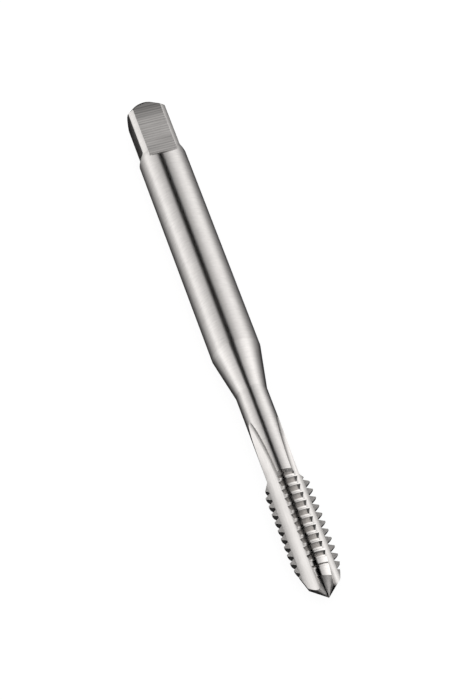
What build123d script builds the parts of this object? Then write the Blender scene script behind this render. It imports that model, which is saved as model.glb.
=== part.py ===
from build123d import *
from math import acos, ceil, degrees, radians, sin, sqrt, tan
import os

# Machine tap with a reduced neck, lying on its shank. Millimetres and degrees.
# It is drawn standing on its tip, with heights measured up +Z from the tip's apex,
# and is then laid down with the drive square at +X and one of its flats facing up.

# Shank and neck
overall_length = 82.9
shank_diameter = 7.0
taper_length = 6.76
neck_diameter = 4.5
neck_length = 13.63

# Thread, right-hand, 20 to the inch
pitch = 1.27
major_diameter = 6.42
thread_depth = 0.735
thread_angle = 60.0
root_flat = 0.25
thread_length = 18.8
thread_start_angle = 30.0
thread_shift = 0.81

# Point and lead chamfer
point_angle = 90.0
lead_end_diameter = 4.88
lead_angle = 16.0
lead_relief = 0.2

# Flutes
flute_count = 3
land_angle = 49.6
land_turn = -2.4
core_diameter = 2.5
rake_angle = 10.0
heel_lean = 8.5
flute_radius = 2.8
flute_corner_radius = 1.2
full_flute_length = 16.2
flute_wheel_radius = 60.0
flute_wheel_turn = 54.0

# Drive square, whose flats above and below run on into the shank
square_across_flats = 5.5
long_flat_length = 9.9
short_flat_length = 8.74
flat_end_angle = 48.0
flat_end_radius = 0.4
square_corner_diameter = 6.86
square_corner_length = 8.85
corner_step_length = 0.6
end_chamfer_angle = 45.0
end_face_diameter = 4.1

# How far a cutting shape runs past the surfaces that it cuts
overrun = 0.5

shank_radius = shank_diameter / 2
neck_radius = neck_diameter / 2
major_radius = major_diameter / 2
root_radius = major_radius - thread_depth
lead_end_radius = lead_end_diameter / 2
core_radius = core_diameter / 2

# Heights up the axis
point_top = lead_end_radius / tan(radians(point_angle / 2))
lead_slope = tan(radians(lead_angle))
lead_top = point_top + (major_radius - lead_end_radius) / lead_slope
neck_top = thread_length + neck_length
corner_start = overall_length - square_corner_length

# The flute's bottom is an arc that touches the core. The heel's face touches that arc too,
# and leans out from the radius: that sets how far the arc's centre is turned from the heel.
flute_angle = 360 / flute_count - land_angle
arc_distance = core_radius + flute_radius
heel_reach = major_radius * sin(radians(heel_lean))
heel_normal_angle = 90 - heel_lean
arc_angle = heel_normal_angle - degrees(acos((heel_reach + flute_radius) / arc_distance))
first_edge = land_turn - land_angle / 2


def blank():
    """Turned outline of the whole tap, before it is threaded, fluted and squared."""
    corner_radius = square_corner_diameter / 2
    end_face_radius = end_face_diameter / 2
    thread_start = thread_length - (major_radius - neck_radius) / tan(radians(thread_start_angle))
    end_chamfer = (corner_radius - end_face_radius) / tan(radians(end_chamfer_angle))
    outline = Polyline(
        (0, 0),
        (lead_end_radius, point_top),
        (major_radius, lead_top),
        (major_radius, thread_start),
        (neck_radius, thread_length),
        (neck_radius, neck_top),
        (shank_radius, neck_top + taper_length),
        (shank_radius, corner_start - corner_step_length),
        (corner_radius, corner_start),
        (corner_radius, overall_length - end_chamfer),
        (end_face_radius, overall_length),
        (0, overall_length),
        close=True,
    )
    return revolve(Plane.XZ * make_face(outline), Axis.Z)


def thread_groove():
    """Helical groove between the threads, as a stack of single turns.

    Each turn starts and ends in the middle of the first flute, where nothing of it is left.
    """
    outer_radius = major_radius + thread_depth / 8
    flare = (outer_radius - root_radius) * tan(radians(thread_angle / 2))

    def helix(radius, offset):
        return Edge.make_helix(pitch, pitch, radius, center=(0, 0, offset)).edge()

    lines = [
        helix(root_radius, -root_flat / 2),
        helix(root_radius, root_flat / 2),
        helix(outer_radius, root_flat / 2 + flare),
        helix(outer_radius, -root_flat / 2 - flare),
    ]
    sides = [Face.make_surface_from_curves(lines[i - 1], lines[i]) for i in range(len(lines))]
    caps = [Face(Wire.make_polygon([line @ end for line in lines])) for end in (0, 1)]
    turn = Rot(0, 0, first_edge - flute_angle / 2) * Solid(Shell(sides + caps))
    return [Pos(0, 0, thread_shift + i * pitch) * turn for i in range(ceil(thread_length / pitch) + 1)]


def flute_profile():
    """Section of a flute, square to the axis, with the grinding wheel's plane along +X.

    The heel's face is a line that runs on into the arc of the bottom, and a fillet joins the
    arc to the straight cutting face.
    """
    heel_turn = flute_wheel_turn - flute_angle
    edge = Vector(major_radius, 0).rotate(Axis.Z, flute_wheel_turn)
    heel = Vector(major_radius, 0).rotate(Axis.Z, heel_turn)
    centre = Vector(arc_distance, 0).rotate(Axis.Z, heel_turn + arc_angle)
    touch = centre - Vector(flute_radius, 0).rotate(Axis.Z, heel_turn + heel_normal_angle)
    deepest = centre * (core_radius / arc_distance)
    outward = Vector(1, 0).rotate(Axis.Z, flute_wheel_turn - rake_angle)
    to_edge = edge - centre
    across = to_edge.cross(outward).length
    corner = edge - outward * (to_edge.dot(outward) + sqrt(flute_radius**2 - across**2))
    outer = shank_radius + overrun
    heel_line = heel - touch
    heel_end = touch + heel_line * ((outer - touch.X) / heel_line.X)
    face_end = corner + outward * ((outer - corner.X) / outward.X)
    profile = make_face(
        [ThreePointArc(corner, deepest, touch), Polyline(touch, heel_end, face_end, corner)]
    )
    inner_corner = profile.vertices().sort_by_distance(corner)[0]
    return fillet(inner_corner, flute_corner_radius)


def flute():
    """Cut of the fluting wheel: straight from the tip, then rising out on its radius.

    It is turned so that the cutting edge at the major diameter lies on +X.
    """
    profile = flute_profile()
    straight = Pos(0, 0, -overrun) * extrude(profile, full_flute_length + overrun)
    clearance = shank_radius + overrun - core_radius
    sweep_angle = degrees(acos(1 - clearance / flute_wheel_radius))
    wheel_axis = Axis((core_radius + flute_wheel_radius, 0, full_flute_length), (0, 1, 0))
    run_out = revolve(Pos(0, 0, full_flute_length) * profile, wheel_axis, sweep_angle)
    return Rot(0, 0, -flute_wheel_turn) * (straight + run_out)


def lead_relief_cut():
    """What is ground off the lead chamfer behind the cutting edge that lies on +X.

    The cone that is left has its axis moved sideways, so that it still passes through
    the cutting edge and falls away towards the heel.
    """
    top = lead_top + lead_relief / lead_slope + pitch
    shift = lead_relief / sin(radians(land_angle))
    tip_radius = lead_end_radius - point_top * lead_slope
    kept = Cone(
        tip_radius,
        tip_radius + top * lead_slope,
        top,
        align=(Align.CENTER, Align.CENTER, Align.MIN),
    )
    ring = Rectangle(shank_radius, top, align=Align.MIN)
    sector = revolve(Plane.XZ * ring, Axis.Z, 360 / flute_count)
    return Rot(0, 0, -flute_angle / 2) * sector - Pos(0, -shift, 0) * kept


def flat_cut(flat_length):
    """What is milled off one side of the square, which slopes out where the flat ends."""
    flat = square_across_flats / 2
    flat_end = overall_length - flat_length
    outer = shank_radius + overrun
    slope_end = flat_end - (outer - flat) / tan(radians(flat_end_angle))
    top = overall_length + overrun
    outline = make_face(
        Polyline((flat, flat_end), (outer, slope_end), (outer, top), (flat, top), close=True)
    )
    inner_corner = outline.vertices().sort_by_distance((flat, flat_end))[0]
    outline = fillet(inner_corner, flat_end_radius)
    return extrude(Plane.XZ * outline, shank_radius, both=True)


def thread_tap():
    tap = blank() - thread_groove()
    for i in range(flute_count):
        to_edge = Rot(0, 0, first_edge + i * 360 / flute_count)
        tap -= to_edge * flute()
        tap -= to_edge * lead_relief_cut()
    for side in (0, 180):
        tap -= Rot(0, 0, side) * flat_cut(long_flat_length)
        tap -= Rot(0, 0, side + 90) * flat_cut(short_flat_length)
    laid = Plane(origin=(-overall_length / 2, 0, shank_radius), x_dir=(0, 0, 1), z_dir=(1, 0, 0))
    return laid * tap


os.makedirs("parts", exist_ok=True)
export_step(thread_tap(), "parts/thread_tap.step")
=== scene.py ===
from math import cos, pi, radians, sin
from types import SimpleNamespace

import bpy
from mathutils import Matrix, Vector

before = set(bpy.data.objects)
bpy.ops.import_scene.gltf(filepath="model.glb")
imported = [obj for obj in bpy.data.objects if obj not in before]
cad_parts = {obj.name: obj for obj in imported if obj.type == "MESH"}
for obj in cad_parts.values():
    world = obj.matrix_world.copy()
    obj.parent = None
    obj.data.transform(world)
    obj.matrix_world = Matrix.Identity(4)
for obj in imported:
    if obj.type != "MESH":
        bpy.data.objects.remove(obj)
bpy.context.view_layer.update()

MM = 0.001
WHITE = (1, 1, 1, 1)

# Camera: where it stands around the tap's axis, and how far it leans towards the point
VIEW_TURN = radians(11.8)
VIEW_LEAN = radians(30.5)
VIEW_ROLL = radians(20.82)
VIEW_DISTANCE = 359.8 * MM
VIEW_LENS = 135.1
VIEW_SENSOR = 36
VIEW_NEAR = 0.01
VIEW_FAR = 10
VIEW_AIM = Vector((-1.613, 0.113, 3.476)) * MM

# Directions along the tap, out towards the camera and across the picture
ALONG = Vector((1, 0, 0))
OUTWARD = Vector((0, sin(VIEW_TURN), cos(VIEW_TURN)))
ACROSS = Vector((0, -cos(VIEW_TURN), sin(VIEW_TURN)))


def add_camera():
    to_camera = OUTWARD * cos(VIEW_LEAN) - ALONG * sin(VIEW_LEAN)
    up = ALONG * cos(VIEW_LEAN) + OUTWARD * sin(VIEW_LEAN)
    image_right = ACROSS * cos(VIEW_ROLL) - up * sin(VIEW_ROLL)
    image_up = ACROSS * sin(VIEW_ROLL) + up * cos(VIEW_ROLL)
    data = bpy.data.cameras.new("camera")
    data.lens = VIEW_LENS
    data.sensor_width = VIEW_SENSOR
    data.clip_start = VIEW_NEAR
    data.clip_end = VIEW_FAR
    camera = bpy.data.objects.new("camera", data)
    bpy.context.scene.collection.objects.link(camera)
    turn = Matrix((image_right, image_up, to_camera)).transposed().to_4x4()
    camera.matrix_world = Matrix.Translation(VIEW_AIM + to_camera * VIEW_DISTANCE) @ turn
    bpy.context.scene.camera = camera


class Nodes:
    """A node tree with short calls for adding and joining nodes."""

    def __init__(self, tree):
        self.tree = tree
        tree.nodes.clear()

    def add(self, kind, **settings):
        node = self.tree.nodes.new("ShaderNode" + kind)
        for name, value in settings.items():
            setattr(node, name, value)
        return node

    def feed(self, socket, value):
        if isinstance(value, bpy.types.NodeSocket):
            self.tree.links.new(value, socket)
        else:
            socket.default_value = value

    def feed_all(self, sockets, values):
        for socket, value in zip(sockets, values):
            self.feed(socket, value)

    def math(self, operation, *values):
        node = self.add("Math", operation=operation)
        self.feed_all(node.inputs, values)
        return node.outputs[0]

    def product(self, first, *others):
        for other in others:
            first = self.math("MULTIPLY", first, other)
        return first

    def inverse(self, share):
        return self.math("SUBTRACT", 1, share)

    def vector(self, operation, *values, output="Vector"):
        node = self.add("VectorMath", operation=operation)
        self.feed_all(node.inputs, values)
        return node.outputs[output]

    def scaled(self, vector, factor):
        result = self.vector("SCALE", vector)
        self.feed(result.node.inputs["Scale"], factor)
        return result

    def dot(self, vector, direction):
        return self.vector("DOT_PRODUCT", vector, direction, output="Value")

    def span(self, value, low, high, at_low=0.0, at_high=1.0):
        """Value spread from low..high to at_low..at_high, held at its ends, with soft bends."""
        node = self.add("MapRange", interpolation_type="SMOOTHSTEP")
        self.feed_all(node.inputs, (value, low, high, at_low, at_high))
        return node.outputs[0]

    def below(self, value, edge):
        """1 below the edge and 0 above it, where the edge is a pair of values."""
        return self.span(value, *edge, 1, 0)

    def between(self, value, rise, fall):
        """1 between two edges and 0 outside them."""
        return self.product(self.span(value, *rise), self.below(value, fall))

    def mix(self, share, first, second):
        """First where the share is 0, second where it is 1."""
        node = self.add("Mix", data_type="FLOAT")
        self.feed_all((node.inputs[0], node.inputs[2], node.inputs[3]), (share, first, second))
        return node.outputs[0]

    def ramp(self, factor, points):
        node = self.add("ValToRGB")
        elements = node.color_ramp.elements
        while len(elements) > 1:
            elements.remove(elements[-1])
        for i, (position, grey) in enumerate(points):
            element = elements[0] if i == 0 else elements.new(position)
            element.position = position
            element.color = (grey, grey, grey, 1)
        self.feed(node.inputs[0], factor)
        return node.outputs[0]

    def noise(self, vector, scale, detail, roughness=0.5):
        node = self.add("TexNoise")
        self.feed(node.inputs["Vector"], vector)
        node.inputs["Scale"].default_value = scale
        node.inputs["Detail"].default_value = detail
        node.inputs["Roughness"].default_value = roughness
        return node.outputs[0]

    def streaks(self, point, stretch, detail, roughness):
        return self.noise(self.vector("MULTIPLY", point, stretch), 1.0, detail, roughness)


# What metal sees of the studio above it. Round the tap's axis, in degrees from the camera's
# side towards the picture's right: a dark slit, then panels that are brightest at 65 degrees
# to each side, then dark again
PANELS_ROUND = [
    (-180, 0.01), (-145, 0.03), (-134, 0.04), (-115, 0.20), (-100, 0.39), (-88, 0.61), (-76, 0.81),
    (-65, 0.97), (-45, 0.84), (-31, 0.67), (-22, 0.61), (-11.5, 0.5), (-6.5, 0.0),
    (8.7, 0.0), (13, 0.42), (22, 0.49), (31, 0.62), (45, 0.86), (65, 1.0), (76, 0.85),
    (88, 0.62), (100, 0.42), (115, 0.24), (134, 0.03), (145, 0.03), (180, 0.01),
]
# Along the axis, by the direction's share along +X
PANELS_ALONG = [
    (-1, 0.0), (-0.9, 0.01), (-0.85, 0.12), (-0.82, 0.22), (-0.72, 0.44), (-0.57, 0.55), (-0.3, 0.75),
    (-0.05, 0.98), (0.1, 0.98), (0.3, 0.93), (0.507, 0.87), (0.65, 0.68), (0.8, 0.28), (1, 0.06),
]
PANEL_LEVEL = 1.5
# Towards the drive end, between these two shares along +X, turns are drawn in by the factor
# below, and so the slit widens
SLIT_WIDENS = (0.57, 0.74)
SLIT_DRAWN_IN = 0.3
# Towards the point, between these two shares, the slit widens up to these turns
POINT_SLIT = (0.43, 0.49)
POINT_SLIT_EDGE = (radians(9.5), radians(16))
# What metal sees of the floor, by the distance to each side of the tap, in millimetres. Its dark band
# under and beside the tap is painted shadow, seen only in reflections
FLOOR_SIDE = 100
FLOOR = [
    (-100, 0.48), (-18.4, 0.27), (-8.6, 0.04), (-4, 0.0), (2, 0.0), (3.2, 0.035), (5.1, 0.03),
    (8.1, 0.2), (12.9, 0.48), (33.9, 0.73), (90, 0.9),
]
# The floor goes dark for it beyond the point, between these two places along X
FLOOR_DARK = (-62 * MM, -47 * MM)
FLOOR_SIZE = 4.0
FLOOR_GREY = 0.2
FLOOR_GLOW = 0.885
WORLD_LEVEL = 0.8


def background(nodes, strength):
    node = nodes.add("Background")
    nodes.feed(node.inputs["Color"], WHITE)
    nodes.feed(node.inputs["Strength"], strength)
    return node.outputs[0]


def emission(nodes, strength):
    node = nodes.add("Emission")
    nodes.feed(node.inputs["Strength"], strength)
    return node.outputs[0]


def by_ray(nodes, plain, seen, mirrored):
    """One shader for light in general, one for what is looked at and one for what is mirrored."""
    path = nodes.add("LightPath").outputs
    looked_at = nodes.math("MAXIMUM", path["Is Camera Ray"], path["Is Transmission Ray"])
    result = plain
    for share, shader in ((looked_at, seen), (path["Is Glossy Ray"], mirrored)):
        mix = nodes.add("MixShader")
        nodes.feed_all(mix.inputs, (share, result, shader))
        result = mix.outputs[0]
    return result


def panel_level(n):
    """How bright the studio is in each direction, for what is mirrored."""
    direction = n.add("TexCoord").outputs["Generated"]
    angle = n.math("ARCTAN2", n.dot(direction, ACROSS), n.dot(direction, OUTWARD))
    along = n.dot(direction, ALONG)
    angle = n.product(angle, n.span(along, *SLIT_WIDENS, 1, SLIT_DRAWN_IN))
    beside_slit = n.span(n.math("ABSOLUTE", angle), *POINT_SLIT_EDGE)
    slit = n.mix(n.below(along, POINT_SLIT), 1, beside_slit)
    round_share = n.math("MULTIPLY_ADD", angle, 0.5 / pi, 0.5)
    round_level = n.ramp(round_share, [(0.5 + turn / 360, grey) for turn, grey in PANELS_ROUND])
    along_share = n.math("MULTIPLY_ADD", along, 0.5, 0.5)
    along_level = n.ramp(along_share, [((share + 1) / 2, grey) for share, grey in PANELS_ALONG])
    return n.product(round_level, along_level, PANEL_LEVEL, slit)


def add_world():
    world = bpy.data.worlds.new("studio")
    world.use_nodes = True
    world.cycles.sampling_method = "NONE"
    bpy.context.scene.world = world
    n = Nodes(world.node_tree)
    plain = background(n, WORLD_LEVEL)
    surface = by_ray(n, plain, background(n, 1), background(n, panel_level(n)))
    n.feed(n.add("OutputWorld").inputs[0], surface)


def add_plane(name, size):
    mesh = bpy.data.meshes.new(name)
    h = size / 2
    mesh.from_pydata([(-h, -h, 0), (h, -h, 0), (h, h, 0), (-h, h, 0)], [], [(0, 1, 2, 3)])
    obj = bpy.data.objects.new(name, mesh)
    bpy.context.scene.collection.objects.link(obj)
    return obj


def floor_level(n):
    """How bright each place of the floor is, for what is mirrored."""
    position = n.add("NewGeometry").outputs["Position"]
    side = n.math("MULTIPLY_ADD", n.dot(position, (0, 1, 0)), 1 / (2 * FLOOR_SIDE * MM), 0.5)
    # dark beside the tap: painted shadow, seen only in reflections
    level = n.ramp(side, [(0.5 + y / (2 * FLOOR_SIDE), grey) for y, grey in FLOOR])
    return n.product(level, n.span(n.dot(position, ALONG), *FLOOR_DARK))


def add_floor():
    floor = add_plane("floor", FLOOR_SIZE)
    material = bpy.data.materials.new("floor")
    material.use_nodes = True
    material.cycles.emission_sampling = "NONE"
    n = Nodes(material.node_tree)
    diffuse = n.add("BsdfDiffuse")
    n.feed(diffuse.inputs[0], (FLOOR_GREY, FLOOR_GREY, FLOOR_GREY, 1))
    lit = n.add("AddShader")
    n.feed_all(lit.inputs, (diffuse.outputs[0], emission(n, FLOOR_GLOW)))
    surface = by_ray(n, diffuse.outputs[0], lit.outputs[0], emission(n, floor_level(n)))
    n.feed(n.add("OutputMaterial").inputs[0], surface)
    floor.data.materials.append(material)


# Zones of the tap. Each pair of values is a soft edge. Places along X and distances from the
# axis, in millimetres
AXIS_HEIGHT = 3.5
FLUTES_END = (-10.5, -10.0)
FLUTE_RADIUS = (2.22, 2.24)
THREAD_END = (-22.7, -22.5)
SLOPE_START = (29.0, 29.2)
SQUARE_START = (31.3, 31.4)
FLAT_RADIUS = (3.405, 3.425)
# The flats are darker past a wavy edge towards their +X end
FLAT_END_BAND = (37.4, 40.0)
FLAT_END_WAVER = 0.8
# How far a face points along the tap, or out from its axis, as a share of 1
SIDE_FACING = (0.22, 0.26)
LEAD_FACING = (0.3, 0.34)
SLOPE_FACING = ((0.5, 0.62), (0.9, 0.98))
POINT_FACING = ((0.6, 0.65), (0.76, 0.8))
FLANK_FACING = (0.7, 0.8)
FLUTE_FACING_OUT = (0.94, 0.955)

# How far the exact direction of the thread's flanks turns round the axis, for a share of 1
# along it, and how much of its own sideways turn the lead keeps
HELIX_SLOPE = 0.0722
LEAD_SWING = 0.3

# Grinding marks: stretch along X, Y and Z per millimetre, detail and roughness of the streaks
ROUND_MARKS = ((4.0, 0.9, 0.9), 3, 0.6)
CROSS_MARKS = ((3.6, 0.1, 0.1), 2, 0.55)
LONG_MARKS = ((0.25, 4.0, 4.0), 4, 0.65)
FEED_MARKS = {"Scale": 0.76, "Distortion": 1.2, "Detail": 2, "Detail Scale": 1.5}
FEED_SHARE = 0.2
MARK_DEPTH = 0.001 * MM
MARK_STRENGTH = 0.35
THREAD_MARKS = 0.3

# Colour of clean steel, and how much lighter or darker it is in places
STEEL = (0.86, 0.83, 0.806)
CONTRAST = 0.32
FLAT_CONTRAST = 1.35
CLOUD_SCALE = 0.45
CLOUD_DETAIL = 2
CLOUD = (0.3, 0.7)
CLOUD_LEVELS = (0.975, 1.02)
FLAT_LEVEL = 0.96
FLUTE_LEVEL = 0.9
# Painted shade: the thread flanks are darkened
FLANK_PAINTED_SHADE = 0.76
# Painted shade: the sloped faces from the step before the square on are darkened to a dark line
SLOPE_PAINTED_SHADE = 0.5
FLAT_END_LEVEL = 0.5

SHANK_ROUGHNESS = 0.345
THREAD_ROUGHNESS = 0.21
POINT_ROUGHNESS = 0.28
FLUTE_ROUGHNESS = 0.23
FLAT_ROUGHNESS = 0.36
MARK_ROUGHNESS = 0.08
ANISOTROPY = 0.93
THREAD_ANISOTROPY = 1.0


def find_zones(n):
    """Where a point of the tap lies, as shares from 0 to 1, and the directions used there."""
    coordinates = n.add("TexCoord").outputs
    at = SimpleNamespace()
    at.normal = coordinates["Normal"]
    at.point = n.vector("SUBTRACT", n.scaled(coordinates["Object"], 1 / MM), (0, 0, AXIS_HEIGHT))
    at.along = n.dot(at.point, ALONG)
    arm = n.vector("MULTIPLY", at.point, (0, 1, 1))
    radius = n.vector("LENGTH", arm, output="Value")
    at.outward = n.vector("NORMALIZE", arm)
    at.tilt = n.dot(at.normal, ALONG)
    at.facing_along = n.math("ABSOLUTE", at.tilt)
    facing_out = n.dot(at.normal, at.outward)

    side_face = n.below(at.facing_along, SIDE_FACING)
    hollow = n.math("MAXIMUM", n.below(radius, FLUTE_RADIUS), n.below(facing_out, FLUTE_FACING_OUT))
    at.flute = n.product(n.below(at.along, FLUTES_END), side_face, hollow)
    at.thread = n.product(n.below(at.along, THREAD_END), n.inverse(at.flute))
    at.flank = n.product(at.thread, n.span(at.facing_along, *FLANK_FACING))
    square = n.span(at.along, *SQUARE_START)
    at.flat = n.product(square, n.below(radius, FLAT_RADIUS), side_face)
    return at


def exact_normal(n, at):
    """Exact direction of the turned and threaded faces, which follows the helix on the flanks."""
    around = n.vector("CROSS_PRODUCT", ALONG, at.outward)
    swing = n.dot(at.normal, around)
    lead = n.product(n.between(at.facing_along, SIDE_FACING, LEAD_FACING), at.thread)
    exact = n.mix(lead, n.product(at.tilt, -HELIX_SLOPE), n.product(swing, LEAD_SWING))
    turned = n.product(n.inverse(at.flute), n.inverse(at.flat))
    correction = n.product(n.math("SUBTRACT", exact, swing), turned)
    return n.vector("NORMALIZE", n.vector("ADD", at.normal, n.scaled(around, correction)))


def grinding_marks(n, at):
    """Marks that run round the shank, straight across the flats and lengthwise in the flutes."""
    feed = n.add("TexWave", wave_type="BANDS", bands_direction="X")
    n.feed(feed.inputs["Vector"], at.point)
    for name, value in FEED_MARKS.items():
        feed.inputs[name].default_value = value
    across_flat = n.mix(FEED_SHARE, n.streaks(at.point, *CROSS_MARKS), feed.outputs["Fac"])
    turned = n.mix(at.flute, n.streaks(at.point, *ROUND_MARKS), n.streaks(at.point, *LONG_MARKS))
    return n.mix(at.flat, turned, across_flat)


def steel_colour(n, at, marks):
    cloud = n.noise(at.point, CLOUD_SCALE, CLOUD_DETAIL)
    contrast = n.mix(at.flat, CONTRAST, FLAT_CONTRAST)
    shade = n.math("MULTIPLY_ADD", n.math("SUBTRACT", marks, 0.5), contrast, 1.0)
    shade = n.product(shade, n.span(cloud, *CLOUD, *CLOUD_LEVELS))
    waver = n.math("MULTIPLY_ADD", cloud, FLAT_END_WAVER, -FLAT_END_WAVER / 2)
    # Flats darker past a wavy edge towards their +X end
    flat_end_band = n.product(n.span(n.math("ADD", at.along, waver), *FLAT_END_BAND), at.flat)
    # Painted shade: sloped faces near the square drawn dark
    slope = n.product(n.between(at.facing_along, *SLOPE_FACING), n.span(at.along, *SLOPE_START))
    zones = (
        (at.flat, FLAT_LEVEL),
        (at.flute, FLUTE_LEVEL),
        # painted shade on the thread flanks
        (at.flank, FLANK_PAINTED_SHADE),
        (slope, SLOPE_PAINTED_SHADE),
        (flat_end_band, FLAT_END_LEVEL),
    )
    for zone, level in zones:
        shade = n.product(shade, n.mix(zone, 1.0, level))
    return n.scaled(STEEL, shade)


def steel_roughness(n, at, marks):
    point_face = n.between(at.facing_along, *POINT_FACING)
    rough = n.mix(at.thread, SHANK_ROUGHNESS, THREAD_ROUGHNESS)
    rough = n.mix(point_face, rough, POINT_ROUGHNESS)
    rough = n.mix(at.flute, rough, FLUTE_ROUGHNESS)
    rough = n.mix(at.flat, rough, FLAT_ROUGHNESS)
    return n.math("MULTIPLY_ADD", n.math("SUBTRACT", marks, 0.5), MARK_ROUGHNESS, rough)


def marked_normal(n, at, marks):
    bump = n.add("Bump")
    bump.inputs["Distance"].default_value = MARK_DEPTH
    bump.inputs["Strength"].default_value = MARK_STRENGTH
    n.feed(bump.inputs["Height"], n.product(marks, n.mix(at.thread, 1.0, THREAD_MARKS)))
    n.feed(bump.inputs["Normal"], exact_normal(n, at))
    return bump.outputs[0]


def spread_direction(n, at):
    """Direction that the highlight's spread is set by: each mark spreads light square to itself."""
    node = n.add("Mix", data_type="VECTOR")
    across = n.vector("CROSS_PRODUCT", at.normal, ALONG)
    n.feed_all((node.inputs[0], node.inputs[4], node.inputs[5]), (at.flute, ALONG, across))
    return node.outputs[1]


def steel():
    material = bpy.data.materials.new("ground_steel")
    material.use_nodes = True
    n = Nodes(material.node_tree)
    at = find_zones(n)
    marks = grinding_marks(n, at)
    shader = n.add("BsdfPrincipled")
    shader.inputs["Metallic"].default_value = 1
    n.feed(shader.inputs["Base Color"], steel_colour(n, at, marks))
    n.feed(shader.inputs["Roughness"], steel_roughness(n, at, marks))
    n.feed(shader.inputs["Anisotropic"], n.mix(at.thread, ANISOTROPY, THREAD_ANISOTROPY))
    n.feed(shader.inputs["Normal"], marked_normal(n, at, marks))
    n.feed(shader.inputs["Tangent"], spread_direction(n, at))
    n.feed(n.add("OutputMaterial").inputs[0], shader.outputs[0])
    return material


scene = bpy.context.scene
scene.view_settings.view_transform = "Standard"
add_camera()
add_world()
add_floor()
metal = steel()
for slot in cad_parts["thread_tap"].material_slots:
    slot.material = metal

bpy.context.view_layer.update()
